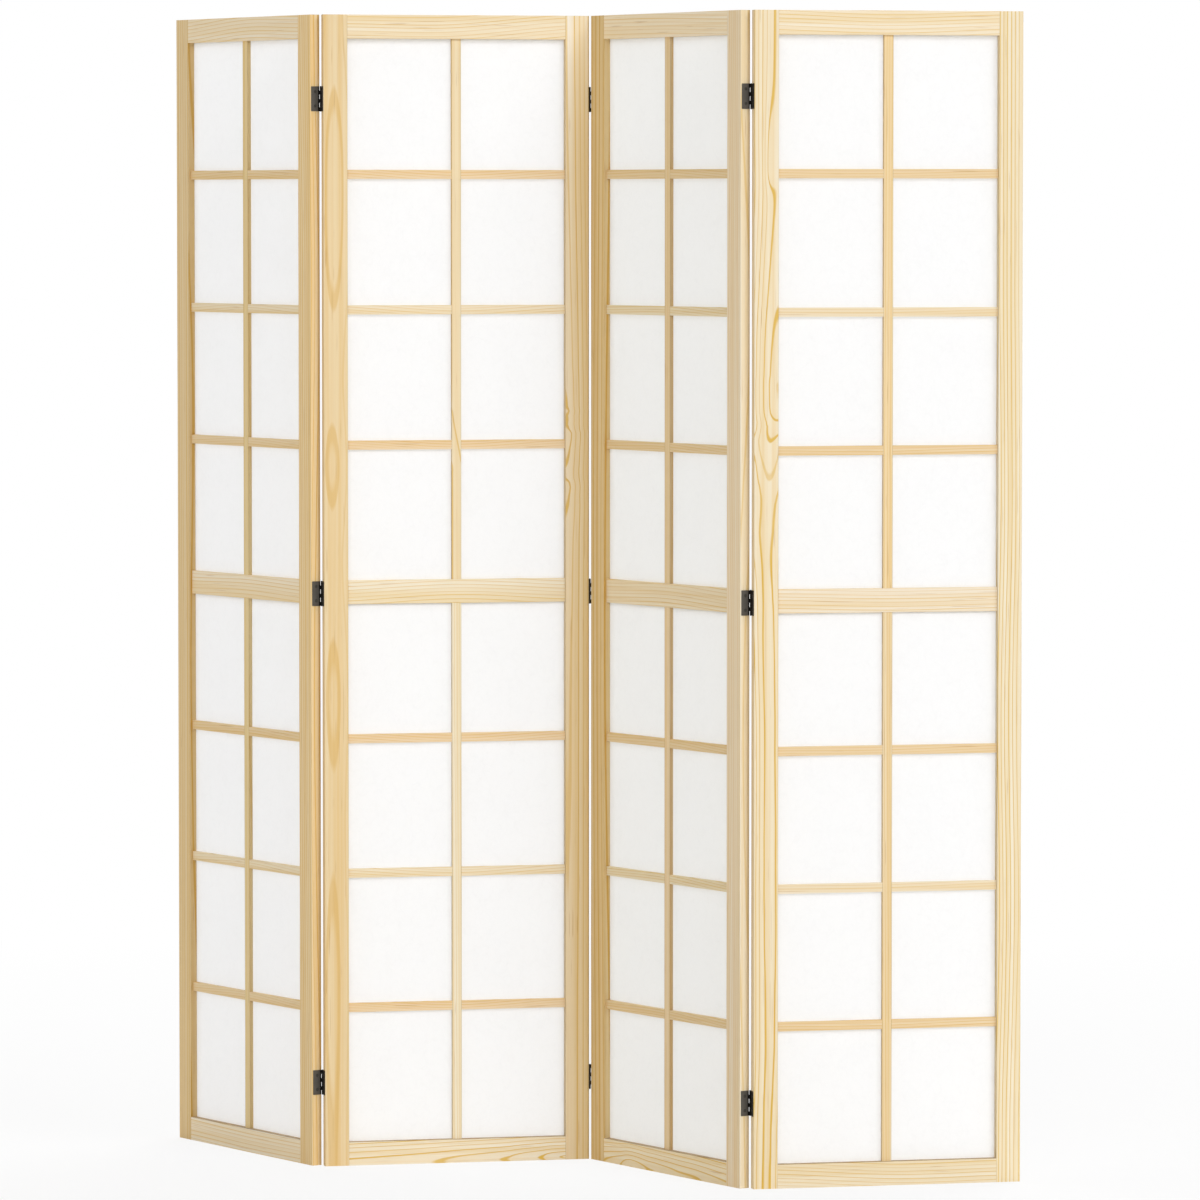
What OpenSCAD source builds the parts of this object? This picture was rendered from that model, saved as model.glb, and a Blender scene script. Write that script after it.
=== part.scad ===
// Folding room divider of four pine panels with a glued-up lattice and translucent paper.
// Each panel has its own axes: u runs along its width from its left end, v runs back from
// its front face, and z runs up from the floor.

/* [Screen] */
// Height of each panel
panel_h = 1700; // [1300:10:2000]
// Width of each panel
panel_w = 400; // [300:5:600]
// Turn of each panel away from the line of the standing screen, in degrees
zigzag_angle = 35; // [10:1:75]

/* [Frame] */
// Thickness of the frame
frame_t = 16; // [14:0.5:24]
// Width of each stile
stile_w = 36; // [28:1:60]
// Height of the top rail
top_rail_h = 35; // [26:1:80]
// Height of the middle rail
middle_rail_h = 35; // [26:1:80]
// Height of the bottom rail
bottom_rail_h = 35; // [26:1:120]
// Rounding of the long outer edges of the stiles
edge_round = 1.2; // [0.8:0.1:4]
// Rounding of the front edges round each opening
arris = 0.6; // [0.2:0.1:1.5]
// Width of the rabbet round the back of each opening
rabbet_w = 8; // [5:0.5:12]

/* [Lattice] */
// Depth of the lattice bars behind the front face of the frame
lattice_recess = 4.8; // [2:0.1:7]
// Thickness of the lattice bars
lattice_t = 5.8; // [3:0.1:8]
// Width of the upright lattice bars
upright_bar_w = 14; // [8:0.5:24]
// Height of the level lattice bars
level_bar_h = 13.5; // [8:0.5:24]
// Number of level bars in each opening
level_bars = 3; // [1:1:6]
// Length of the tongue on each end of a bar
tongue_l = 6; // [3:0.5:7]
// Glue space in the laps where two bars cross
lap_clearance = 0.05; // [0.02:0.01:0.2]

/* [Paper] */
// Thickness of the paper
paper_t = 0.3; // [0.2:0.1:1]
// Distance from the edge of the paper to the wall of the rabbet
paper_margin = 0.5; // [0.2:0.1:2]

/* [Beads] */
// Width of the beads that hold the paper
bead_w = 7.5; // [4:0.5:8]
// Depth of the beads below the back face of the frame
bead_recess = 0.5; // [0.2:0.1:1.5]
// Rounding of the inner back edge of the beads
bead_round = 2; // [0.5:0.1:3]
// Space left at each end of a bead in the mitred corners
mitre_clearance = 0.05; // [0.02:0.01:0.3]

/* [Dowels] */
// Radius of the dowels in the corners of the frame
dowel_r = 3; // [2:0.25:3.5]
// Length of a dowel inside the stile
dowel_in_stile = 17; // [10:1:22]
// Length of a dowel inside the rail
dowel_in_rail = 22; // [10:1:40]
// Distance between the two dowels at each end of the top and bottom rails
dowel_pitch = 17; // [12:0.5:18]
// Glue space round a dowel
dowel_clearance = 0.05; // [0.02:0.01:0.1]
// Glue space beyond the end of a dowel
dowel_end_gap = 0.8; // [0.3:0.1:2]

/* [Hinges] */
// Height of a hinge
hinge_h = 36.5; // [30:0.5:60]
// Number of knuckles on a hinge
knuckles = 6; // [4:2:10]
// Width of a hinge leaf from the pin to its free edge
leaf_w = 15.7; // [10:0.1:16]
// Thickness of a hinge leaf
leaf_t = 0.7; // [0.5:0.1:1]
// Space between two closed hinge leaves
leaf_gap = 0.4; // [0.3:0.1:0.8]
// Rounding of the free corners of a hinge leaf
leaf_round = 1; // [0.4:0.1:2]
// Radius of the hinge barrel
barrel_r = 1.25; // [1.15:0.05:1.6]
// Running space between the barrel and the edge of a stile
barrel_clearance = 0.6; // [0.5:0.05:1]
// Space between a knuckle and the notch that it turns in
notch_clearance = 1; // [0.3:0.1:1.5]
// Space between two knuckles
knuckle_gap = 0.15; // [0.1:0.05:0.3]
// Distance from the end of a panel to the centre of its outer hinge
hinge_inset = 123.5; // [60:0.5:250]
// Distance of the middle hinge below half the height of the panel
middle_hinge_drop = 2; // [0:0.5:10]

/* [Hinge pins] */
// Radius of a hinge pin
pin_r = 0.7; // [0.5:0.05:0.8]
// Running clearance between a pin and the knuckles
pin_clearance = 0.05; // [0.02:0.01:0.1]
// Radius of the peened heads of a pin
pin_head_r = 1.15; // [0.95:0.05:1.15]
// Thickness of the peened heads of a pin
pin_head_t = 0.5; // [0.3:0.1:1.2]

/* [Screws] */
// Radius of a screw shank
screw_r = 1.4; // [1:0.05:1.8]
// Radius of a screw head
screw_head_r = 2.4; // [2:0.05:3]
// Length of a screw with its head
screw_l = 12; // [8:0.5:16]
// Length of the point of a screw
screw_point_l = 2.5; // [1:0.1:4]
// Radius of a screw at its tip
screw_tip_r = 0.3; // [0.2:0.05:0.6]
// Distance between the two screws of a leaf
screw_pitch = 21; // [14:0.5:24]
// Clearance round a screw
screw_clearance = 0.05; // [0.02:0.01:0.1]
// Width of the slots of the cross recess in a screw head
recess_w = 0.6; // [0.4:0.05:0.8]
// Length of the slots of the cross recess
recess_l = 2.6; // [2:0.1:3.2]
// Depth of the cross recess
recess_depth = 0.5; // [0.3:0.05:0.7]

/* [Hidden] */
pine = "#ecd2a2";
lattice_pine = "#eccb96";
beech = "#d9b787";
washi = "#fbfaf6";
black_steel = "#35332f";
pin_steel = "#2a2926";

panels = 4;
folds = panels - 1;
// Whether the left leaf of a hinge has the top knuckle, for each fold from left to right,
// at the top, middle and bottom hinge
left_leaf_on_top = [[false, false, true], [true, true, false], [true, true, false]];

PANEL_PARTS = ["left_stile", "right_stile", "top_rail", "middle_rail", "bottom_rail",
    "upper_lattice", "lower_lattice", "upper_paper", "lower_paper", "paper_beads", "rail_dowels"];
HINGE_PARTS = ["left_leaves", "right_leaves", "pins", "left_screws", "right_screws"];

// Overshoot of a cut past the face that it opens
past = 1;
$fn = 48;

// Frame and openings
paper_v = lattice_recess + lattice_t;
lap_v = lattice_recess + lattice_t / 2;
opening_w = panel_w - 2 * stile_w;
opening_h = (panel_h - top_rail_h - middle_rail_h - bottom_rail_h) / 2;
lower_z = bottom_rail_h;
upper_z = lower_z + opening_h + middle_rail_h;
bead_t = frame_t - bead_recess - paper_v - paper_t;

// Hinge geometry: the pin stands clear of the rounded edges of both stiles
panel_gap = 2 * leaf_t + leaf_gap;
pin_out = sqrt(pow(barrel_r + barrel_clearance + edge_round, 2)
    - pow(panel_gap / 2 + edge_round, 2)) - edge_round;
notch_y = barrel_r + notch_clearance;
knuckle_pitch = hinge_h / knuckles;
bore_r = pin_r + pin_clearance;
screw_y = (leaf_w + notch_y) / 2;
hinge_z = [panel_h - hinge_inset, panel_h / 2 - middle_hinge_drop, hinge_inset];

// Places of the pins on the floor, with the middle of the screen at the origin
fold_x = (panel_w + panel_gap) * cos(zigzag_angle) + (frame_t + 2 * pin_out) * sin(zigzag_angle);
fold_y = ((panel_w + panel_gap) * sin(zigzag_angle) - (frame_t + 2 * pin_out) * cos(zigzag_angle)) / 2;

function odd(i) = i % 2 == 1;
// A fold with an odd number has its pin behind the panels, an even one in front of them
function pin_v(fold) = odd(fold) ? frame_t + pin_out : -pin_out;
function pin_place(fold) = [(fold - 2) * fold_x, odd(fold) ? -fold_y : fold_y, 0];
function turn(panel) = odd(panel) ? -zigzag_angle : zigzag_angle;
// The fold that one end of a panel belongs to, or 0 at a free end of the screen
function fold_at(panel, end) = end == "right" ? panel % panels : panel - 1;
function bar_z(floor_z, i) = floor_z + opening_h * i / (level_bars + 1);
function rail_bottoms() = [0, lower_z + opening_h, panel_h - top_rail_h];
function rail_heights() = [bottom_rail_h, middle_rail_h, top_rail_h];
function rail_fronts() = [0, lattice_recess, 0];
// The dowels of the outer rails lie in front of the rabbets. Those of the middle rail lie in
// the middle of its thickness, between its two rabbets.
function dowel_v(rail) = rail == 1 ? (lattice_recess + frame_t) / 2 : paper_v / 2;
function dowel_spread(rail) = rail == 1 ? (middle_rail_h - 2 * rabbet_w) / 2 : dowel_pitch;

// Puts what is drawn in the axes of a panel where that panel stands
module on_panel(panel) {
    fold = max(panel - 1, 1);
    pin_u = panel == 1 ? panel_w + panel_gap / 2 : -panel_gap / 2;
    translate(pin_place(fold))
        rotate([0, 0, turn(panel)])
            translate([-pin_u, -pin_v(fold), 0])
                children();
}

// Puts what is drawn for the left side of a rear hinge, with the pin on the z axis and the
// panel towards -x and -y, at one end of a panel
module on_hinge(panel, end) {
    fold = fold_at(panel, end);
    pin_u = end == "right" ? panel_w + panel_gap / 2 : -panel_gap / 2;
    on_panel(panel)
        translate([pin_u, pin_v(fold), 0])
            mirror([end == "right" ? 0 : 1, 0, 0])
                mirror([0, odd(fold) ? 0 : 1, 0])
                    children();
}

// A box from one corner to the other
module block(low, high) {
    translate(low)
        cube(high - low);
}

// Two dowels, or their holes, across the joint between a rail and the left stile
module dowel_pair(rail, radius, in_stile, in_rail) {
    middle = rail_bottoms()[rail] + rail_heights()[rail] / 2;
    for (side = [-1, 1])
        translate([stile_w - in_stile, dowel_v(rail), middle + side * dowel_spread(rail) / 2])
            rotate([0, 90, 0])
                cylinder(r = radius, h = in_stile + in_rail);
}

// The same on both sides of a panel
module dowels_at(rail, radius, in_stile, in_rail) {
    dowel_pair(rail, radius, in_stile, in_rail);
    translate([panel_w, 0, 0])
        mirror([1, 0, 0])
            dowel_pair(rail, radius, in_stile, in_rail);
}

module dowel_holes(rail) {
    dowels_at(rail, dowel_r + dowel_clearance, dowel_in_stile + dowel_end_gap,
        dowel_in_rail + dowel_end_gap);
}

// What rounding the corner at [r, 0] takes off a cross-section that lies up and to the left
module corner_cut(r) {
    difference() {
        translate([0, -past])
            square(r + past);
        translate([0, r])
            circle(r);
    }
}

// Cross-section of a left stile, with its rounded edges and the rabbet at its back
module stile_section() {
    r = edge_round;
    difference() {
        union() {
            translate([0, r])
                square([stile_w, frame_t - 2 * r]);
            translate([r, 0])
                square([stile_w - r, frame_t]);
            for (v = [r, frame_t - r])
                translate([r, v])
                    circle(r);
        }
        translate([stile_w - rabbet_w, paper_v])
            square([rabbet_w + past, frame_t - paper_v + past]);
        translate([stile_w - arris, 0])
            corner_cut(arris);
    }
}

// Pilot holes in the edge of a stile for the three hinge leaves
module pilot_holes() {
    for (z = hinge_z)
        for (side = [-1, 1])
            translate([-panel_gap / 2 - screw_l, -screw_y, z + side * screw_pitch / 2])
                rotate([0, 90, 0])
                    cylinder(r = screw_r + screw_clearance, h = screw_l + past);
}

// A stile drawn as the left one: the housings take the tongues of the level bars
module plain_stile() {
    difference() {
        linear_extrude(panel_h)
            stile_section();
        for (floor_z = [lower_z, upper_z])
            for (i = [1:level_bars])
                block([stile_w - tongue_l, lap_v, bar_z(floor_z, i) - level_bar_h / 2],
                    [stile_w + past, paper_v + past, bar_z(floor_z, i) + level_bar_h / 2]);
        for (rail = [0:2])
            dowel_holes(rail);
    }
}

module left_stile(panel) {
    color(pine)
        difference() {
            on_panel(panel)
                plain_stile();
            if (fold_at(panel, "left") > 0)
                on_hinge(panel, "left")
                    pilot_holes();
        }
}

module right_stile(panel) {
    color(pine)
        difference() {
            on_panel(panel)
                translate([panel_w, 0, 0])
                    mirror([1, 0, 0])
                        plain_stile();
            if (fold_at(panel, "right") > 0)
                on_hinge(panel, "right")
                    pilot_holes();
        }
}

// Cross-section of the front of a rail, with its height along y
module rail_section(front, low, high, opening_below, opening_above) {
    difference() {
        translate([front, low])
            square([paper_v - front, high - low]);
        if (opening_below)
            translate([front + arris, low])
                mirror([1, 0])
                    corner_cut(arris);
        if (opening_above)
            translate([front + arris, high])
                rotate(180)
                    corner_cut(arris);
    }
}

// A rail between the stiles: its back lies in the rabbets of the stiles, and its own
// rabbets face the openings above and below it
module rail(number, opening_below, opening_above) {
    low = rail_bottoms()[number];
    high = low + rail_heights()[number];
    back_low = low + (opening_below ? rabbet_w : 0);
    back_high = high - (opening_above ? rabbet_w : 0);
    color(pine)
        difference() {
            union() {
                translate([stile_w, 0, 0])
                    rotate([90, 0, 90])
                        linear_extrude(opening_w)
                            rail_section(rail_fronts()[number], low, high, opening_below, opening_above);
                block([stile_w - rabbet_w, paper_v, back_low],
                    [panel_w - stile_w + rabbet_w, frame_t, back_high]);
            }
            if (opening_below)
                upright_housing(low - past, low + tongue_l);
            if (opening_above)
                upright_housing(high - tongue_l, high + past);
            dowel_holes(number);
        }
}

// Housing in a rail for the tongue of an upright bar
module upright_housing(low, high) {
    block([(panel_w - upright_bar_w) / 2, lap_v, low],
        [(panel_w + upright_bar_w) / 2, paper_v + past, high]);
}

module top_rail(panel) {
    on_panel(panel)
        rail(2, true, false);
}

module middle_rail(panel) {
    on_panel(panel)
        rail(1, true, true);
}

module bottom_rail(panel) {
    on_panel(panel)
        rail(0, false, true);
}

// One upright bar and the level bars that cross it in half laps: the front half of the
// upright bar runs through, and the back half of each level bar
module lattice(floor_z) {
    left = (panel_w - upright_bar_w) / 2;
    right = (panel_w + upright_bar_w) / 2;
    color(lattice_pine) {
        difference() {
            union() {
                block([left, lattice_recess, floor_z], [right, paper_v, floor_z + opening_h]);
                block([left, lap_v, floor_z - tongue_l], [right, paper_v, floor_z + opening_h + tongue_l]);
            }
            for (i = [1:level_bars])
                block([left - past, lap_v, bar_z(floor_z, i) - level_bar_h / 2 - lap_clearance],
                    [right + past, paper_v + past, bar_z(floor_z, i) + level_bar_h / 2 + lap_clearance]);
        }
        for (i = [1:level_bars])
            translate([0, 0, bar_z(floor_z, i)])
                difference() {
                    union() {
                        block([stile_w, lattice_recess, -level_bar_h / 2],
                            [panel_w - stile_w, paper_v, level_bar_h / 2]);
                        block([stile_w - tongue_l, lap_v, -level_bar_h / 2],
                            [panel_w - stile_w + tongue_l, paper_v, level_bar_h / 2]);
                    }
                    block([left - lap_clearance, lattice_recess - past, -level_bar_h],
                        [right + lap_clearance, lap_v + lap_clearance, level_bar_h]);
                }
    }
}

module upper_lattice(panel) {
    on_panel(panel)
        lattice(upper_z);
}

module lower_lattice(panel) {
    on_panel(panel)
        lattice(lower_z);
}

// A sheet of paper laid on the back of the lattice and on the shoulders of the rabbet
module paper(floor_z) {
    reach = rabbet_w - paper_margin;
    color(washi)
        block([stile_w - reach, paper_v, floor_z - reach],
            [panel_w - stile_w + reach, paper_v + paper_t, floor_z + opening_h + reach]);
}

module upper_paper(panel) {
    on_panel(panel)
        paper(upper_z);
}

module lower_paper(panel) {
    on_panel(panel)
        paper(lower_z);
}

// Cross-section of a bead, with its outer face against the wall of the rabbet at x = 0
module bead_section() {
    square([bead_w - bead_round, bead_t]);
    square([bead_w, bead_t - bead_round]);
    translate([bead_w - bead_round, bead_t - bead_round])
        circle(bead_round);
}

// One mitred bead that lies along x, with its outer face at y = 0 and its back up
module bead(length) {
    c = mitre_clearance;
    intersection() {
        rotate([90, 0, 90])
            linear_extrude(length)
                bead_section();
        linear_extrude(bead_t)
            polygon([[c, 0], [length - c, 0], [length - bead_w - c, bead_w], [bead_w + c, bead_w]]);
    }
}

// The four beads of one opening, drawn on the floor with their backs up
module bead_frame(width, height) {
    bead(width);
    translate([width, height, 0])
        rotate([0, 0, 180])
            bead(width);
    translate([width, 0, 0])
        rotate([0, 0, 90])
            bead(height);
    translate([0, height, 0])
        rotate([0, 0, -90])
            bead(height);
}

module paper_beads(panel) {
    color(pine)
        on_panel(panel)
            for (floor_z = [lower_z, upper_z])
                translate([panel_w - stile_w + rabbet_w, paper_v + paper_t, floor_z - rabbet_w])
                    rotate([90, 0, 180])
                        bead_frame(opening_w + 2 * rabbet_w, opening_h + 2 * rabbet_w);
}

module rail_dowels(panel) {
    color(beech)
        on_panel(panel)
            for (rail = [0:2])
                dowels_at(rail, dowel_r, dowel_in_stile, dowel_in_rail);
}

// The outline of a leaf plate in its own plane, with the free edge rounded at both corners
module leaf_outline() {
    square_l = leaf_w - leaf_round;
    translate([-square_l, -hinge_h / 2])
        square([square_l, hinge_h]);
    translate([-leaf_w, -hinge_h / 2 + leaf_round])
        square([leaf_w, hinge_h - 2 * leaf_round]);
    for (z = [-hinge_h / 2 + leaf_round, hinge_h / 2 - leaf_round])
        translate([-square_l, z])
            circle(leaf_round);
}

// Height of the middle of a knuckle above the middle of its hinge, counted from the top
function knuckle_z(i) = hinge_h / 2 - (i - 0.5) * knuckle_pitch;

// One hinge leaf on the left side of the pin. Its knuckles are every other one, from the
// top one if has_top is true, and its plate is notched round the knuckles of the other leaf.
module leaf(has_top) {
    first = has_top ? 1 : 2;
    notch_first = has_top ? 2 : 1;
    knuckle_l = knuckle_pitch - knuckle_gap;
    difference() {
        union() {
            translate([-panel_gap / 2, 0, 0])
                rotate([90, 0, 90])
                    linear_extrude(leaf_t)
                        leaf_outline();
            for (i = [first:2:knuckles])
                translate([0, 0, knuckle_z(i) - knuckle_l / 2])
                    cylinder(r = barrel_r, h = knuckle_l);
        }
        for (i = [notch_first:2:knuckles])
            block([-panel_gap, -notch_y, knuckle_z(i) - (knuckle_pitch + knuckle_gap) / 2],
                [panel_gap, past, knuckle_z(i) + (knuckle_pitch + knuckle_gap) / 2]);
        for (end = [0, 1])
            mirror([0, 0, end])
                block([-panel_gap, -notch_y, hinge_h / 2 - knuckle_gap / 2],
                    [panel_gap, barrel_r, hinge_h / 2 + past]);
        translate([0, 0, -hinge_h])
            cylinder(r = bore_r, h = 2 * hinge_h);
        for (side = [-1, 1])
            translate([-panel_gap / 2, -screw_y, side * screw_pitch / 2])
                rotate([0, 90, 0])
                    countersink();
    }
}

// Tapered hole for a screw head, through a leaf that lies on z = 0
module countersink() {
    slope = (screw_head_r - screw_r) / leaf_t;
    cylinder(r1 = screw_r + screw_clearance,
        r2 = screw_head_r + screw_clearance + slope * past, h = leaf_t + past);
    translate([0, 0, -past])
        cylinder(r = screw_r + screw_clearance, h = leaf_t + past);
}

// The three leaves at one end of a panel
module leaves(panel, end) {
    fold = fold_at(panel, end);
    color(black_steel)
        on_hinge(panel, end)
            for (i = [0:2])
                translate([0, 0, hinge_z[i]])
                    leaf(left_leaf_on_top[fold - 1][i] == (end == "right"));
}

module left_leaves(fold) {
    leaves(fold, "right");
}

module right_leaves(fold) {
    leaves(fold + 1, "left");
}

// Plain hinge pins with a peened head at each end
module pins(fold) {
    color(pin_steel)
        translate(pin_place(fold))
            for (z = hinge_z)
                translate([0, 0, z]) {
                    cylinder(r = pin_r, h = hinge_h, center = true);
                    for (end = [0, 1])
                        mirror([0, 0, end])
                            translate([0, 0, hinge_h / 2])
                                cylinder(r1 = pin_head_r, r2 = pin_r, h = pin_head_t);
                }
}

// A countersunk screw that points along -z, with the top of its head at z = 0
module screw() {
    difference() {
        union() {
            translate([0, 0, -leaf_t])
                cylinder(r1 = screw_r, r2 = screw_head_r, h = leaf_t);
            translate([0, 0, -screw_l + screw_point_l])
                cylinder(r = screw_r, h = screw_l - screw_point_l - leaf_t / 2);
            translate([0, 0, -screw_l])
                cylinder(r1 = screw_tip_r, r2 = screw_r, h = screw_point_l);
        }
        for (angle = [0, 90])
            rotate([0, 0, angle])
                block([-recess_l / 2, -recess_w / 2, -recess_depth],
                    [recess_l / 2, recess_w / 2, past]);
    }
}

// The six screws at one end of a panel
module screws(panel, end) {
    color(black_steel)
        on_hinge(panel, end)
            for (z = hinge_z)
                for (side = [-1, 1])
                    translate([-panel_gap / 2 + leaf_t, -screw_y, z + side * screw_pitch / 2])
                        rotate([0, 90, 0])
                            screw();
}

module left_screws(fold) {
    screws(fold, "right");
}

module right_screws(fold) {
    screws(fold + 1, "left");
}

for (p = [1:panels]) {
    left_stile(p);
    right_stile(p);
    top_rail(p);
    middle_rail(p);
    bottom_rail(p);
    upper_lattice(p);
    lower_lattice(p);
    upper_paper(p);
    lower_paper(p);
    paper_beads(p);
    rail_dowels(p);
}
for (j = [1:folds]) {
    left_leaves(j);
    right_leaves(j);
    pins(j);
    left_screws(j);
    right_screws(j);
}
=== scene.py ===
import random
from math import cos, pi, radians, sin

import bpy
from mathutils import Matrix, Vector, noise


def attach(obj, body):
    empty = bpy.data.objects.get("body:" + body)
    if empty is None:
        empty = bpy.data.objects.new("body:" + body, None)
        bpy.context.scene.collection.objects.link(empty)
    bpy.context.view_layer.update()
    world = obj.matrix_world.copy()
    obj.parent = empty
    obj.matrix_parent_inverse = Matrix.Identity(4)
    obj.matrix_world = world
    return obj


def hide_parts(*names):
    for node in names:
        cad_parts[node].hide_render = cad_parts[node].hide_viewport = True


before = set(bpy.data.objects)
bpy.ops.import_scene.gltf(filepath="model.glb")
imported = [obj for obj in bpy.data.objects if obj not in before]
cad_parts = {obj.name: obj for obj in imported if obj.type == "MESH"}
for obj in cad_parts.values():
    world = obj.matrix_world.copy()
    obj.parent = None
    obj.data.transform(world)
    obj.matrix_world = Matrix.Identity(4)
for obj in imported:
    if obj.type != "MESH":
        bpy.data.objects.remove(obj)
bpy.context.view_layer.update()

# --- Camera ------------------------------------------------------------------------------
# The divider is seen from a little to its right, 22 degrees round from square on, and from
# below its shoulder height, through a long lens that keeps the stiles nearly upright.
bpy.ops.object.camera_add(location=(4.19222, -10.06744, 1.41679),
                          rotation=(radians(86.97204), 0, radians(22.3136)))
camera = bpy.context.object
camera.name = "camera"
camera.data.sensor_width = 36
camera.data.lens = 222.5585
camera.data.clip_end = 100
bpy.context.scene.camera = camera


# --- Stiles ------------------------------------------------------------------------------
# The two uprights of each panel are planed pine, rabbeted at the back for the paper, sanded
# and left bare. Sawn from near the heart of the log, some show arches and ovals of its rings.
# The faces round the openings, and the edges beside a hinge pin, are painted darker, as shade.
class Socket:
    """An output of a shader node. Arithmetic on it adds the Math node that does it."""

    def __init__(self, shader, output):
        self.shader, self.output = shader, output

    def maths(self, operation, *terms):
        return self.shader.node("ShaderNodeMath", {"operation": operation},
                                dict(enumerate(terms)))

    def __add__(self, other):
        return self.maths("ADD", self, other)

    def __radd__(self, other):
        return self.maths("ADD", other, self)

    def __sub__(self, other):
        return self.maths("SUBTRACT", self, other)

    def __rsub__(self, other):
        return self.maths("SUBTRACT", other, self)

    def __mul__(self, other):
        return self.maths("MULTIPLY", self, other)

    def __rmul__(self, other):
        return self.maths("MULTIPLY", other, self)

    def __truediv__(self, other):
        return self.maths("DIVIDE", self, other)

    def __abs__(self):
        return self.maths("ABSOLUTE", self)

    def squared(self):
        return self.maths("MULTIPLY", self, self)

    def root(self):
        return self.maths("SQRT", self)

    def part(self):
        return self.maths("FRACT", self)

    def whole(self):
        return self.maths("FLOOR", self)

    def bell(self):
        return self.maths("EXPONENT", -1 * self.squared())

    def under(self, limit):
        return self.maths("LESS_THAN", self, limit)

    def within(self, reach, value):
        return self.maths("COMPARE", self, value, reach)

    def kept(self):
        return self.shader.node("ShaderNodeClamp", {}, {0: self})

    def split(self):
        made = self.shader.node("ShaderNodeSeparateXYZ", {}, {0: self}).output.node
        return [Socket(self.shader, output) for output in made.outputs]


class Shader:
    """The node tree of one finish, or of the air round the divider."""

    def __init__(self, name, kind="materials"):
        self.owner = getattr(bpy.data, kind).new(name)
        self.owner.use_nodes = True
        self.tree = self.owner.node_tree
        self.tree.nodes.clear()

    def node(self, kind, settings, sockets, out=0):
        made = self.tree.nodes.new(kind)
        for name, value in settings.items():
            if name == "stops":
                ramp = made.color_ramp
                while len(ramp.elements) < len(value):
                    ramp.elements.new(1.0)
                for stop, (place, colour) in zip(ramp.elements, value):
                    stop.position, stop.color = place, colour
            elif name == "between_stops":
                made.color_ramp.interpolation = value
            else:
                setattr(made, name, value)
        for name, value in sockets.items():
            if isinstance(value, Socket):
                self.tree.links.new(value.output, made.inputs[name])
            else:
                made.inputs[name].default_value = value
        return Socket(self, made.outputs[out])

    def mixed(self, share, first, second):
        return self.node("ShaderNodeMix", {"data_type": "RGBA"},
                         {0: share, 6: first, 7: second}, 2)

    def tinted(self, colour, tint):
        return self.node("ShaderNodeMix", {"data_type": "RGBA", "blend_type": "MULTIPLY"},
                         {0: 1.0, 6: colour, 7: tint}, 2)

    def dimmed(self, colour, factor):
        return self.node("ShaderNodeVectorMath", {"operation": "SCALE"}, {0: colour, 3: factor})

    def cloud(self, place, lumps, seed, detail=2.0):
        """Soft noise from 0 to 1, with so many lumps to the metre along each axis."""
        spread = self.node("ShaderNodeVectorMath", {"operation": "MULTIPLY_ADD"},
                           {0: place, 1: lumps, 2: (seed, 1.7 * seed, 2.3 * seed)})
        return self.node("ShaderNodeTexNoise", {},
                         {"Vector": spread, "Scale": 1.0, "Detail": detail})

    def finish(self, surface, output="ShaderNodeOutputMaterial"):
        last = self.tree.nodes.new(output)
        self.tree.links.new(surface.output, last.inputs["Surface"])
        return self.owner


def swatch(code):
    """The linear colour of a six-figure swatch."""
    parts = [int(code[i:i + 2], 16) / 255 for i in (0, 2, 4)]
    return (*[p / 12.92 if p <= 0.04045 else ((p + 0.055) / 1.055) ** 2.4 for p in parts], 1.0)


def dress(node, material):
    """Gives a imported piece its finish."""
    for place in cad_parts[node].material_slots:
        place.material = material


panels, folds = (1, 2, 3, 4), (1, 2, 3)
panel_w, panel_h, panel_t = 0.4, 1.7, 0.016
stile_w = 0.036
panel_turn = 35
half_gap, pin_out = 0.0009, 0.0010119
pins = [Vector((-0.3394733, -0.1078494, 0)), Vector((0, 0.1078494, 0)),
        Vector((0.3394733, -0.1078494, 0))]


def panel_axes(number):
    """A panel's front bottom left corner, and the ways along its width and into its depth."""
    turn = radians(-panel_turn if number % 2 else panel_turn)
    width, depth = Vector((cos(turn), sin(turn), 0)), Vector((-sin(turn), cos(turn), 0))
    pin_u = panel_w + half_gap if number == 1 else -half_gap
    pin_v = -pin_out if number == 3 else panel_t + pin_out
    return pins[max(number - 2, 0)] - pin_u * width - pin_v * depth, width, depth


def board_axes(shader, corner, across, depth):
    """A board's own coordinates: across its face, into its depth and along its grain."""
    turn = Matrix((across, depth, across.cross(depth))).transposed().to_euler()
    return shader.node("ShaderNodeMapping", {"vector_type": "TEXTURE"},
                       {"Vector": shader.node("ShaderNodeTexCoord", {}, {}, "Object"),
                        "Location": corner, "Rotation": turn})


def low_in_tree(height):
    """1 low on a board, fading to 0 just below 0.95 m."""
    fade_end, fade_l = 0.95, 0.1
    return ((fade_end - height) / fade_l).kept()


# How dark the wood is through one year's growth, from its start to its end
growth_tones = ((0.0, 0.0), (0.34, 0.03), (0.7, 0.12), (0.78, 0.95), (0.89, 0.95), (0.95, 0.0))


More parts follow.
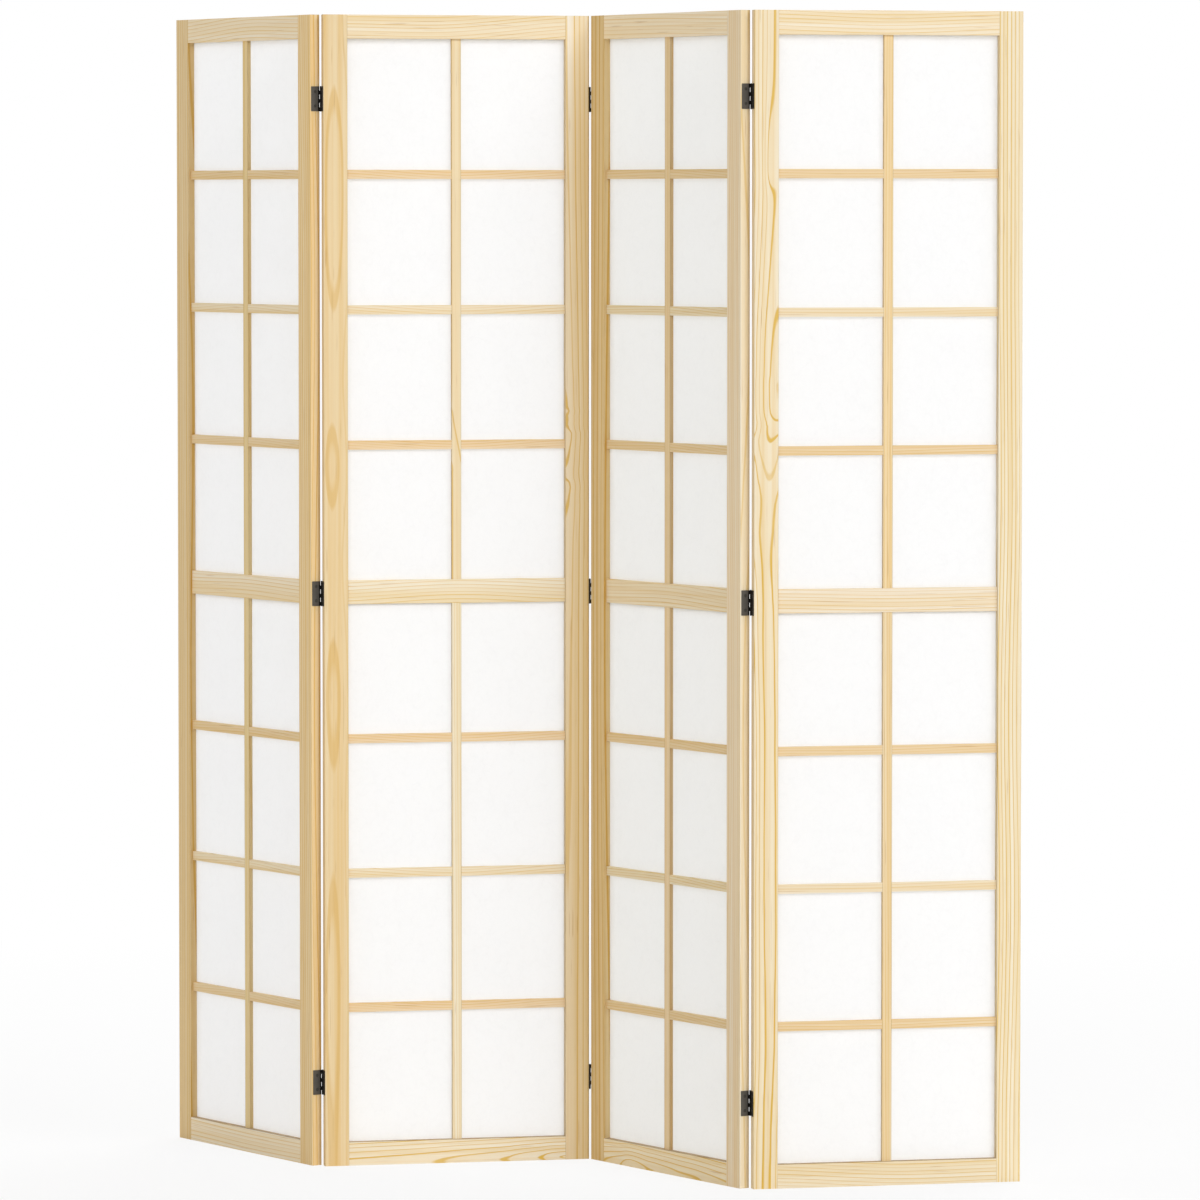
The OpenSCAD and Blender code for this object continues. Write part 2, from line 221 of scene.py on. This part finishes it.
def pine_grain(shader, board, length, heart, ring, start, strength, ground, seed, eddies=(),
               lean_from=None):
    """Colour, late wood and fibre of pine. heart lists how far across the face and how far
    below it the heart of the log runs, in mm, at places in mm along the board, and ring is
    the width of a year's growth. An eddy pushes the rings aside, as beside a knot. Low in
    the tree the lean years from a radius on, in mm, have rings half as wide."""
    x, y, z = board.split()
    reach, lowest = 0.4, -0.15
    stops = [(along / 1000 / length,
              ((off / 1000 - lowest) / reach, (under / 1000 - lowest) / reach, 0, 1))
             for along, off, under in heart]
    off, under, _ = shader.node("ShaderNodeValToRGB",
                                {"stops": stops, "between_stops": "CARDINAL"},
                                {0: z / length}).split()
    swell = shader.cloud(board, (22, 22, 2.2), seed, 1.0)
    quiver = shader.cloud(board, (110, 110, 9), seed + 5, 1.0)
    from_heart = x - (off * reach + lowest)
    to_heart = (under * reach + lowest) - y
    radius = ((from_heart.squared() + to_heart.squared()).root()
              + (swell - 0.5) * 0.0016 + (quiver - 0.5) * 0.0005)
    for across, height, half, above, below, push in eddies:
        rise = z - height / 1000
        along = rise.maths("MAXIMUM", rise, 0.0) / (above / 1000)
        along = along + rise.maths("MINIMUM", rise, 0.0) / (below / 1000)
        aside = (x - across / 1000) / (half / 1000)
        radius = radius + push / 1000 * (aside.bell() * along.bell())
    pace = shader.node("ShaderNodeTexNoise", {"noise_dimensions": "1D"},
                       {"W": radius * 65 + seed, "Scale": 1.0, "Detail": 1.0})
    age = radius / ring + (pace - 0.5) * 0.5 + start
    if lean_from:
        lean = radius - lean_from / 1000
        age = age + lean.maths("MAXIMUM", lean, 0.0) / ring * low_in_tree(z)
    year = shader.node("ShaderNodeTexWhiteNoise", {"noise_dimensions": "1D"},
                       {"W": age.whole() + seed}, "Value")
    growth = [(place, (tone, tone, tone, 1)) for place, tone in growth_tones]
    late = shader.node("ShaderNodeValToRGB", {"stops": growth}, {0: age.part()}).split()[0]
    late = late * (0.5 + 0.5 * year)
    fibre = shader.cloud(board, (1300, 1300, 9), seed + 11, 2.0)
    band = shader.cloud(board, (150, 150, 1.1), seed + 17, 2.0)
    wood = ground if isinstance(ground, Socket) else swatch(ground)
    warm_wood, late_wood = [shader.tinted(wood, swatch(code)) for code in ("F8ECD2", "E8C760")]
    colour = shader.mixed((band * 2.4 - 0.7).kept(), wood, warm_wood)
    colour = shader.mixed((late * strength).kept(), colour, late_wood)
    duct = ((shader.cloud(board, (700, 700, 16), seed + 23, 0.0) - 0.74) * 14).kept()
    colour = shader.mixed(duct * 0.35, colour, swatch("B98746"))
    return shader.dimmed(colour, 0.97 + 0.06 * fibre), late, fibre


def pine_finish(shader, colour, late, fibre):
    """Bare sanded pine: matt, with the hard late wood a little smoother and prouder."""
    relief = shader.node("ShaderNodeBump", {}, {"Height": fibre * 0.6 + late * 0.5,
                                                "Strength": 0.3, "Distance": 0.00012})
    return shader.finish(shader.node("ShaderNodeBsdfPrincipled", {}, {
        "Base Color": colour, "Roughness": 0.6 - late * 0.1 + (fibre - 0.5) * 0.1,
        "Normal": relief, "Specular IOR Level": 0.35}))


# For each stile: the run of the heart, ring width in mm, start, strength of the figure,
# ground colour (or those of its inner edge, its outer edge, darker as painted shade, and its
# top, paler as painted light), seed and eddies
stile_figures = {
    (1, "left"): ([(0, -30, 20), (600, -24, 24), (1200, -26, 21), (1700, -20, 18)],
                  5.0, 0.1, 0.9, "ECD5AA", 3.1, []),
    (1, "right"): ([(0, 60, 26), (700, 55, 22), (1300, 58, 27), (1700, 52, 25)],
                   4.6, 0.4, 1.1, "F5DDB0", 10.8, []),
    (2, "left"): ([(0, 12, 30), (300, 12, 29), (520, 13, 32), (700, 13, 29), (880, 13, 33.5),
                   (971, 12, 31.2), (1036, 12, 29.2), (1101, 12, 31.2), (1180, 14, 33.5),
                   (1330, 15, 29), (1500, 16, 28), (1640, 15, 32.5), (1700, 15, 34)],
                  6.5, 0.2, 0.45, "EED8AF", 6.2, []),
    (2, "right"): ([(0, 4, 24), (400, 3, 23), (800, 2, 21), (930, 1, 19.3), (970, 1, 18.1),
                    (990, 0, 17.1), (1007, 0, 16.5), (1013, 0, 18.1), (1025, 0, 18.8),
                    (1037, 0, 18.1), (1064, 0, 16.6), (1084, 0, 15.6), (1091, 0, 18.1),
                    (1096, 0, 18.1), (1099, 0, 17.2), (1103, 0, 18.1), (1109, 0, 18.1),
                    (1114, 0, 17.3), (1119, 0, 18.1), (1180, 0, 19.6), (1400, -2, 21),
                    (1700, -3, 22)], 5.0, 0.22, 0.95, ("EEDEC2", "E2CDA0", "FBF1DF"), 13.9, []),
    (3, "left"): ([(0, 62, 24), (800, 56, 20), (1700, 60, 26)],
                  8.6, 0.7, 1.25, "E4CC9D", 9.3, []),
    (3, "right"): ([(0, -26, 28), (700, -22, 22), (1250, -28, 25), (1700, -24, 20)],
                   4.8, 0.3, 0.6, "F3E2C6", 17.0, []),
    (4, "left"): ([(0, 18.6, 36.27), (40, 19.2, 36.23), (98, 20.8, 36.14),
                   (185, 23.9, 36.04), (271, 24.3, 35.98), (358, 24.3, 35.84),
                   (531, 24.7, 35.91), (618, 24.7, 35.91), (704, 23.9, 35.76),
                   (791, 21.9, 35.67), (849, 20.8, 35.78), (906, 18.5, 36.15),
                   (950, 17.9, 35.9), (990, 20.5, 35.8), (1007, 22, 35), (1023, 22.4, 33.5),
                   (1055, 22.4, 30.8), (1079, 23, 28.5), (1092, 28, 26.2), (1106, 33, 23.5),
                   (1121, 35, 18.5), (1149, 35.5, 16.9), (1174, 35.5, 17.6),
                   (1276, 35.5, 22.3), (1428, 39, 26.4), (1520, 38.5, 26.5),
                   (1700, 38.5, 26.5)],
                  5.0, 0.38, 1.05, "F7EAD0", 12.4, [(23, 1470, 8, 90, 28, -6.2)]),
    (4, "right"): ([(0, 54, 28), (150, 55, 28), (400, 60, 28), (690, 56, 28), (980, 60.5, 28),
                    (1300, 57.4, 28), (1700, 57.4, 28)],
                   4.7, 0.5, 1.2, "F7ECD4", 20.1, []),
}
face_reach, round_reach = 0.0004, 0.0013
fold_shade_depth, fold_shade_fade = 0.0055, 0.0045
lit_top_from, lit_top_fade = 1.43, 0.26
for number in panels:
    corner, width, depth = panel_axes(number)
    for side in ("left", "right"):
        heart, ring, start, strength, ground, seed, eddies = stile_figures[number, side]
        pine = Shader(f"stile_pine_{number}_{side}")
        edge = corner + (panel_w - stile_w if side == "right" else 0) * width
        board = board_axes(pine, edge, width, depth)
        across, into, up_grain = board.split()
        # This stile is painted darker towards its outer edge by the fold, as shade, and paler
        # at its top, as light.
        if isinstance(ground, tuple):
            inner_wood, shaded_outer_wood, lit_top_wood = [swatch(code) for code in ground]
            to_top = ((up_grain - lit_top_from) / lit_top_fade).kept()
            ground = pine.mixed(across / stile_w, inner_wood, shaded_outer_wood)
            ground = pine.mixed(to_top * to_top, ground, lit_top_wood)
        # The outer edge face of this stile is paler.
        if (number, side) == (3, "right"):
            pale_outer_edge = across.within(round_reach, stile_w)
            ground = pine.mixed(pale_outer_edge, swatch(ground), swatch("F8EDD6"))
        lean_from = None
        if (number, side) == (4, "left"):
            lean_from = 35.76
            strength = strength + low_in_tree(up_grain) * 0.5
        colour, late, fibre = pine_grain(pine, board, panel_h, heart, ring / 1000, start,
                                         strength, ground, seed, eddies, lean_from)
        # The inner faces round the opening are painted darker, as shade.
        inner = across.within(face_reach, stile_w if side == "left" else 0.0)
        recess_shade_tint = swatch("F0EDE6" if (number, side) == (3, "left") else "DFDBD3")
        colour = pine.mixed(inner, colour, pine.tinted(colour, recess_shade_tint))
        # The edge face beside a hinge pin, deep in the fold, is painted darker, as shade.
        fold = number if side == "right" else number - 1
        if fold in folds:
            from_pin_face = into if fold == 2 else panel_t - into
            by_pin = ((fold_shade_depth - from_pin_face) / fold_shade_fade).kept()
            fold_shade = across.within(round_reach, stile_w if side == "right" else 0.0) * by_pin
            colour = pine.mixed(fold_shade, colour, pine.tinted(colour, swatch("CEC5B5")))
        dress(f"panel_{number}_{side}_stile", pine_finish(pine, colour, late, fibre))

# --- Rails -------------------------------------------------------------------------------
# Three level rails of the same pine join the stiles with dowels, the middle one set back from
# their front. They are sawn along the radius of the log, so fine straight lines run from end
# to end, but two bottom rails are sawn by the heart and show arches. Their ledge is painted
# darker, as shade.
rail_h, rabbet_w = 0.035, 0.008
rail_start = stile_w - rabbet_w
rail_l = panel_w - 2 * rail_start
rails = {"bottom": 0.0, "middle": (panel_h - rail_h) / 2, "top": panel_h - rail_h}
arched_rails = {
    (2, "bottom"): ([(0, 4, 0.5), (14.5, 4, 2), (41, 4, 7.2), (93, 3, 12.4), (200, 2, 17.6),
                     (344, 0, 21)], 0.445, 1.2),
    (3, "bottom"): ([(0, -2, 23), (77, -1, 19.1), (142, 0, 17.3), (190, 0, 14.6),
                     (223, 0, 12.9), (264, 0, 8.9), (289, 0, 13.6), (335, 0, 18.8),
                     (344, 0, 19.5)], 0.157, 1.2)}
# The first panel's bottom rail is given a paler colour, as painted light, where it sits in
# shade near the floor.
rail_woods = {(1, "bottom"): "FDF1DC", (2, "top"): "F7E9CF", (2, "middle"): "F6ECD8",
              (2, "bottom"): "F4E9D4", (3, "middle"): "F0E1C4", (3, "bottom"): "F7EACF",
              (4, "top"): "FAEED8", (4, "middle"): "F7EBD8", (4, "bottom"): "F4E8D0"}
up = Vector((0, 0, 1))
for number in panels:
    corner, width, depth = panel_axes(number)
    for level, (name, floor_z) in enumerate(rails.items()):
        pine = Shader(f"rail_pine_{number}_{name}")
        right_end = corner + (rail_start + rail_l) * width + floor_z * up
        board = board_axes(pine, right_end, up, depth)
        pick = random.Random(10 * number + level)
        heart = [(0, pick.uniform(-70, -50), pick.uniform(14, 30)),
                 (170, pick.uniform(-64, -56), pick.uniform(18, 26)),
                 (344, pick.uniform(-70, -50), pick.uniform(14, 30))]
        start, seed = pick.random(), 20 + pick.uniform(0, 40)
        heart, start, strength = arched_rails.get((number, name), (heart, start, 0.8))
        ground = rail_woods.get((number, name), "FAECD3")
        colour, late, fibre = pine_grain(
            pine, board, rail_l, heart, ring=0.0052, start=start, strength=strength,
            ground=ground, seed=seed)
        # The upper ledge of each bottom rail is painted darker, as shade.
        if name == "bottom":
            shaded_ledge = board.split()[0].within(face_reach, rail_h)
            colour = pine.mixed(shaded_ledge, colour, pine.tinted(colour, swatch("BEB19F")))
        dress(f"panel_{number}_{name}_rail", pine_finish(pine, colour, late, fibre))

# --- Lattice -----------------------------------------------------------------------------
# Thin pine bars divide each opening into two by four. They are let into each other in half
# laps and have tongues in the frame. They are cut from warm, straight-grained wood, the middle
# level bars from a paler batch, and their flanks are painted darker, as shade.
opening_w, opening_h = panel_w - 2 * stile_w, (panel_h - 3 * rail_h) / 2
openings = {"lower": rail_h, "upper": 2 * rail_h + opening_h}
bar_pitch = opening_h / 4
half_upright, half_level = 0.007, 0.00675
lap_depth, tongue_l = 0.0077, 0.006


def upright_or_level(shader, is_upright, of_upright, of_level):
    """Colour, late wood and fibre of pieces that run both ways, from those of each."""
    colour = shader.mixed(is_upright, of_level[0], of_upright[0])
    late = of_level[1] + is_upright * (of_upright[1] - of_level[1])
    return colour, late, of_level[2] + is_upright * (of_upright[2] - of_level[2])


upright_woods = {(1, "lower"): "F1DDAD", (1, "upper"): "F1DDAD", (2, "lower"): "F5EBD5",
                 (2, "upper"): "F3E3C3", (3, "lower"): "EFD9B3", (3, "upper"): "ECD6AE",
                 (4, "lower"): "F2DEB9", (4, "upper"): "F4DCAF"}
level_woods = {1: ("F1DAB2", "F5E4C3"), 2: ("F1DAB8", "F4E8D1"), 3: ("E9D1A6", "EDDEBD"),
               4: ("F0D9B3", "F5E8D1")}
for number in panels:
    corner, width, depth = panel_axes(number)
    for name, floor_z in openings.items():
        pine = Shader(f"lattice_pine_{number}_{name}")
        pick = random.Random(100 * number + 5)
        still = 70 + pick.uniform(0, 40)
        left_flank = corner + (panel_w / 2 - half_upright) * width
        right_end = corner + (panel_w - stile_w + tongue_l) * width + floor_z * up
        upright = board_axes(pine, left_flank, width, depth)
        level = board_axes(pine, right_end, up, depth)
        straight = [(0, pick.uniform(-95, -80), 30), (850, pick.uniform(-95, -80), 34),
                    (1700, pick.uniform(-95, -80), 30)]
        plain = [(0, pick.uniform(-95, -80), 30), (170, pick.uniform(-95, -80), 34),
                 (340, pick.uniform(-95, -80), 30)]
        u, v, _ = upright.split()
        height, _, _ = level.split()
        middle_bar = height.within(2 * half_level, 2 * bar_pitch)
        level_wood = pine.mixed(middle_bar, *[swatch(code) for code in level_woods[number]])
        ring, start, strength = 0.004, 0.1, 0.6
        if (number, name) == (2, "upper"):
            straight = [(0, -13, 8), (1020, -13, 8), (1040, -15, 8), (1116, -28.9, 8),
                        (1140, -29.8, 8), (1700, -29.5, 8)]
            ring, start, strength = 0.016, 0.955, 1.1
        of_upright = pine_grain(pine, upright, panel_h, straight, ring, start, strength,
                                upright_woods[number, name], still)
        of_level = pine_grain(pine, level, opening_w + 2 * tongue_l, plain, ring=0.004,
                              start=0.6, strength=0.7, ground=level_wood, seed=still + 9)
        beside = abs((height / bar_pitch + 0.5).part() - 0.5).under(half_level / bar_pitch)
        clear_of_rails = height.within(1.5 * bar_pitch, 2 * bar_pitch)
        crossing = beside * clear_of_rails * (1 - v.under(lap_depth))
        is_upright = u.within(half_upright + 0.0001, half_upright) * (1 - crossing)
        colour, late, fibre = upright_or_level(pine, is_upright, of_upright, of_level)
        # The flanks of the upright bars are painted darker, as shade.
        flank = is_upright * (1 - u.within(half_upright - face_reach, half_upright))
        colour = pine.mixed(flank, colour, pine.tinted(colour, swatch("D3CEC7")))
        dress(f"panel_{number}_{name}_lattice", pine_finish(pine, colour, late, fibre))

# --- Paper -------------------------------------------------------------------------------
# White mulberry paper closes each opening. It is one sheet, 343 by 812.5 mm, glued taut to
# the back of the lattice and in the rabbet, and it lets a soft light through. Between the
# bars it swells back by a fraction of a millimetre. The third panel's is painted a little
# greyer, as shade.
paper_w, paper_h, paper_t = 0.343, 0.8125, 0.00027
paper_v, swell_depth = 0.01062, 0.00035
pane_w, pane_h = opening_w / 2 - half_upright, bar_pitch - 2 * half_level


def mulberry_paper(name, white, fibre_white):
    shader = Shader(name)
    here = shader.node("ShaderNodeTexCoord", {}, {}, "Object")
    fibres = 0.0
    for lumps, seed in ((38, 3.0), (75, 8.0), (120, 13.0)):
        lines = shader.cloud(here, (lumps, lumps, lumps * 0.7), seed, 3.0)
        fibres = fibres + (1 - abs(lines - 0.5) * 34).kept()
    pulp = shader.cloud(here, (260, 260, 260), 21.0, 3.0)
    relief = shader.node("ShaderNodeBump", {}, {"Height": fibres * 0.4 + pulp,
                                                "Strength": 0.2, "Distance": 0.0001})
    colour = shader.mixed((fibres / 3 + pulp * 0.3).kept(), swatch(white), swatch(fibre_white))
    front = shader.node("ShaderNodeBsdfPrincipled", {}, {
        "Base Color": colour, "Roughness": 0.8 + (pulp - 0.5) * 0.1, "Normal": relief,
        "Specular IOR Level": 0.2})
    through = shader.node("ShaderNodeBsdfTranslucent", {},
                          {"Color": swatch(white), "Normal": relief})
    return shader.finish(shader.node("ShaderNodeMixShader", {}, {
        0: 0.64 - 0.05 * fibres / 3, 1: front, 2: through}))


bright_paper = mulberry_paper("mulberry_paper", "F8F8F8", "EFEFEF")
# The third panel's paper is painted greyer, as shade.
shaded_paper = mulberry_paper("mulberry_paper_shaded", "F5F5F4", "ECECEB")
for number in panels:
    corner, width, depth = panel_axes(number)
    for name, floor_z in openings.items():
        bpy.ops.object.select_all(action="DESELECT")
        bpy.ops.mesh.primitive_grid_add(x_subdivisions=32, y_subdivisions=72, size=1)
        sheet = bpy.context.object
        sheet.name = f"panel_{number}_{name}_paper_sheet"
        for point in sheet.data.vertices:
            a, b = point.co.x * paper_w, point.co.y * paper_h
            column = min(max((abs(a) - half_upright) / pane_w, 0), 1)
            row = min(max(((b / bar_pitch) % 1 * bar_pitch - half_level) / pane_h, 0), 1)
            inside = abs(a) < opening_w / 2 and abs(b) < opening_h / 2
            swell = swell_depth * sin(pi * column) * sin(pi * row) if inside else 0
            ripple = 1 + 0.5 * noise.noise(Vector((a * 14 + number, b * 14, floor_z)))
            point.co = Vector((a, b, -swell * ripple))
        middle = (corner + panel_w / 2 * width + (floor_z + opening_h / 2) * up
                  + paper_v * depth)
        lie = Matrix((width, up, -depth)).transposed().to_4x4()
        sheet.matrix_world = Matrix.Translation(middle) @ lie
        bpy.ops.object.transform_apply(location=True, rotation=True, scale=True)
        thick = sheet.modifiers.new("thickness", "SOLIDIFY")
        thick.thickness = paper_t
        thick.offset = -1
        bpy.ops.object.modifier_apply(modifier="thickness")
        bpy.ops.object.shade_smooth_by_angle(angle=radians(30))
        sheet.data.materials.append(shaded_paper if number == 3 else bright_paper)
        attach(sheet, f"panel_{number}")
        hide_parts(f"panel_{number}_{name}_paper")

# --- Beads -------------------------------------------------------------------------------
# Four pine beads round each opening, mitred at the corners and pinned into the rabbet, hold
# the edge of the paper from behind. Their inner back edge is rounded over.
bead_growth, bead_strength, bead_wood = 0.0045, 0.6, "F4E2BE"
rabbeted_h = opening_h + 2 * rabbet_w
for number in panels:
    corner, width, depth = panel_axes(number)
    pine = Shader(f"bead_pine_{number}")
    pick = random.Random(1000 + number)
    upright = board_axes(pine, corner + rail_start * width, width, depth)
    level = board_axes(pine, corner + (rail_start + rail_l) * width, up, depth)
    far = [(0, -60, 40), (850, -56, 42), (1700, -62, 38)]
    of_upright = pine_grain(pine, upright, panel_h, far, bead_growth, pick.random(),
                            bead_strength, bead_wood, 120 + number)
    far = [(0, -60, 40), (172, -56, 42), (344, -62, 38)]
    of_level = pine_grain(pine, level, rail_l, far, bead_growth, pick.random(),
                          bead_strength, bead_wood, 130 + number)
    u, _, _ = upright.split()
    height, _, _ = level.split()
    in_upper = 1 - height.under(panel_h / 2)
    from_sill = height - (rail_h - rabbet_w + in_upper * rails["middle"])
    to_side = u.maths("MINIMUM", u, rail_l - u)
    to_level = u.maths("MINIMUM", from_sill, rabbeted_h - from_sill)
    is_upright = (to_side - to_level).under(0)
    colour, late, fibre = upright_or_level(pine, is_upright, of_upright, of_level)
    dress(f"panel_{number}_paper_beads", pine_finish(pine, colour, late, fibre))

# --- Dowels ------------------------------------------------------------------------------
# Two beech dowels, 6 mm thick, pin each end of every rail into its stile. They are glued in
# and don't show. Beech is even, with short dark flecks along the grain.
for number in panels:
    beech = Shader(f"dowel_beech_{number}")
    corner, width, depth = panel_axes(number)
    board = board_axes(beech, corner, up, depth)
    fleck = ((beech.cloud(board, (1400, 1400, 160), 5.0 + number, 1.0) - 0.62) * 9).kept()
    tone = beech.cloud(board, (240, 240, 12), 9.0 + number)
    colour = beech.mixed(tone, swatch("DDBE90"), swatch("CFA877"))
    colour = beech.mixed(fleck * 0.6, colour, swatch("A67A4C"))
    dress(f"panel_{number}_rail_dowels", pine_finish(beech, colour, fleck, tone))


# --- Hinge leaves ------------------------------------------------------------------------
# The panels are joined by three steel butt hinges at each fold. Their leaves are stamped
# from 0.7 mm sheet, with alternate knuckles rolled round the pin, and painted satin black.
pin_shade_reach = 0.0042


def black_paint(name, dark, light, roughness, seed, shade_round_pin=None):
    """Paint or oxide on steel. Round a given pin it is painted near black, as the barrel's
    shade.
    """
    shader = Shader(name)
    here = shader.node("ShaderNodeTexCoord", {}, {}, "Object")
    peel = shader.cloud(here, (900, 900, 900), seed, 2.0)
    dust = shader.cloud(here, (90, 90, 60), seed + 4, 3.0)
    relief = shader.node("ShaderNodeBump", {},
                         {"Height": peel, "Strength": 0.25, "Distance": 0.00008})
    colour = shader.mixed(dust, swatch(dark), swatch(light))
    if shade_round_pin:
        x, y, _ = here.split()
        from_pin = ((x - shade_round_pin.x).squared() + (y - shade_round_pin.y).squared()).root()
        # Near the pin the colour is painted near black, as shade.
        colour = shader.mixed(from_pin.under(pin_shade_reach), colour, swatch("13110F"))
    return shader.finish(shader.node("ShaderNodeBsdfPrincipled", {}, {
        "Base Color": colour, "Roughness": roughness + (dust - 0.5) * 0.15, "Normal": relief,
        "Specular IOR Level": 0.15}))


for fold in folds:
    # The left leaves are painted lighter, as a painted sheen, and the right leaves darker, as
    # painted shade.
    for side, dark, light in (("left", "5A564F", "66615A"), ("right", "2B2925", "35322E")):
        dress(f"hinge_{fold}_{side}_leaves", black_paint(
            f"leaf_black_paint_{fold}_{side}", dark, light, roughness=0.42, seed=2.0,
            shade_round_pin=pins[fold - 1]))

# --- Hinge pins --------------------------------------------------------------------------
# A plain steel pin, 1.4 mm thick, runs through the knuckles of each hinge and is peened
# over at both ends, where the paint has worn to dull steel.
pin_paint = black_paint("pin_dull_steel", "1F1D1B", "2A2825", roughness=0.36, seed=6.0)
for fold in folds:
    dress(f"hinge_{fold}_pins", pin_paint)

# --- Screws ------------------------------------------------------------------------------
# Two blackened countersunk wood screws hold each leaf to the edge of its stile. Their cross
# heads lie flush with the leaf, in the space between the closed leaves.
screw_paint = black_paint("screw_black_oxide", "45423C", "524E48", roughness=0.38, seed=9.0)
for fold in folds:
    for side in ("left", "right"):
        dress(f"hinge_{fold}_{side}_screws", screw_paint)

# --- Floor and light ---------------------------------------------------------------------
# A white studio floor runs into a white background. A row of three lamps stands far round on
# the right, so that only two of the panels face it. A broad lamp in front of the divider fills
# the shade, and one behind it lights the paper through.
bpy.ops.object.select_all(action="DESELECT")
bpy.ops.mesh.primitive_plane_add(size=60)
floor = bpy.context.object
floor.name = "studio_floor"
studio = Shader("studio_floor")
camera_ray = studio.node("ShaderNodeLightPath", {}, {}, "Is Camera Ray")
from_middle = studio.node("ShaderNodeVectorMath", {"operation": "LENGTH"}, {
    0: studio.node("ShaderNodeTexCoord", {}, {}, "Object")}, "Value")
shadow_near, shadow_far, shadow_share = 1.0, 3.5, 0.15
away = ((from_middle - shadow_near) / (shadow_far - shadow_near)).kept()
white = (1, 1, 1, 1)
matt = studio.node("ShaderNodeBsdfDiffuse", {}, {"Color": (0.9, 0.9, 0.9, 1)})
glow = studio.node("ShaderNodeEmission", {}, {"Color": white, "Strength": 1.0})
floor.data.materials.append(studio.finish(studio.node("ShaderNodeMixShader", {}, {
    0: camera_ray * (1 - shadow_share + shadow_share * away), 1: matt, 2: glow})))

air = Shader("studio_air", "worlds")
seen, mirrored, seen_through = [
    air.node("ShaderNodeLightPath", {}, {}, f"Is {kind} Ray")
    for kind in ("Camera", "Glossy", "Transmission")]
seen_at_all = air.node("ShaderNodeMath", {"operation": "MAXIMUM"}, {
    0: seen.maths("MAXIMUM", seen, mirrored), 1: seen_through})
sky = air.node("ShaderNodeBackground", {}, {
    "Color": air.mixed(seen_at_all, (0.34, 0.34, 0.34, 1), white)})
bpy.context.scene.world = air.finish(sky, "ShaderNodeOutputWorld")


def lamp(name, towards, strength, softness):
    """A distant lamp in one direction from the divider, softened over so many degrees."""
    bpy.ops.object.light_add(type="SUN", location=Vector(towards) * 5,
                             rotation=Vector(towards).to_track_quat("Z", "Y").to_euler())
    made = bpy.context.object
    made.name = name
    made.data.energy = strength
    made.data.angle = radians(softness)


for place, azimuth in (("near", 60), ("middle", 68), ("far", 76)):
    turn, rise = radians(azimuth), radians(28)
    lamp(f"key_lamp_{place}", (sin(turn) * cos(rise), -cos(turn) * cos(rise), sin(rise)),
         strength=0.255, softness=13)
lamp("fill_lamp", (0.235, -0.875, 0.423), strength=0.96, softness=30)
lamp("rear_lamp", (0.0, 0.766, 0.643), strength=1.58, softness=50)
bpy.context.scene.view_settings.view_transform = "Standard"
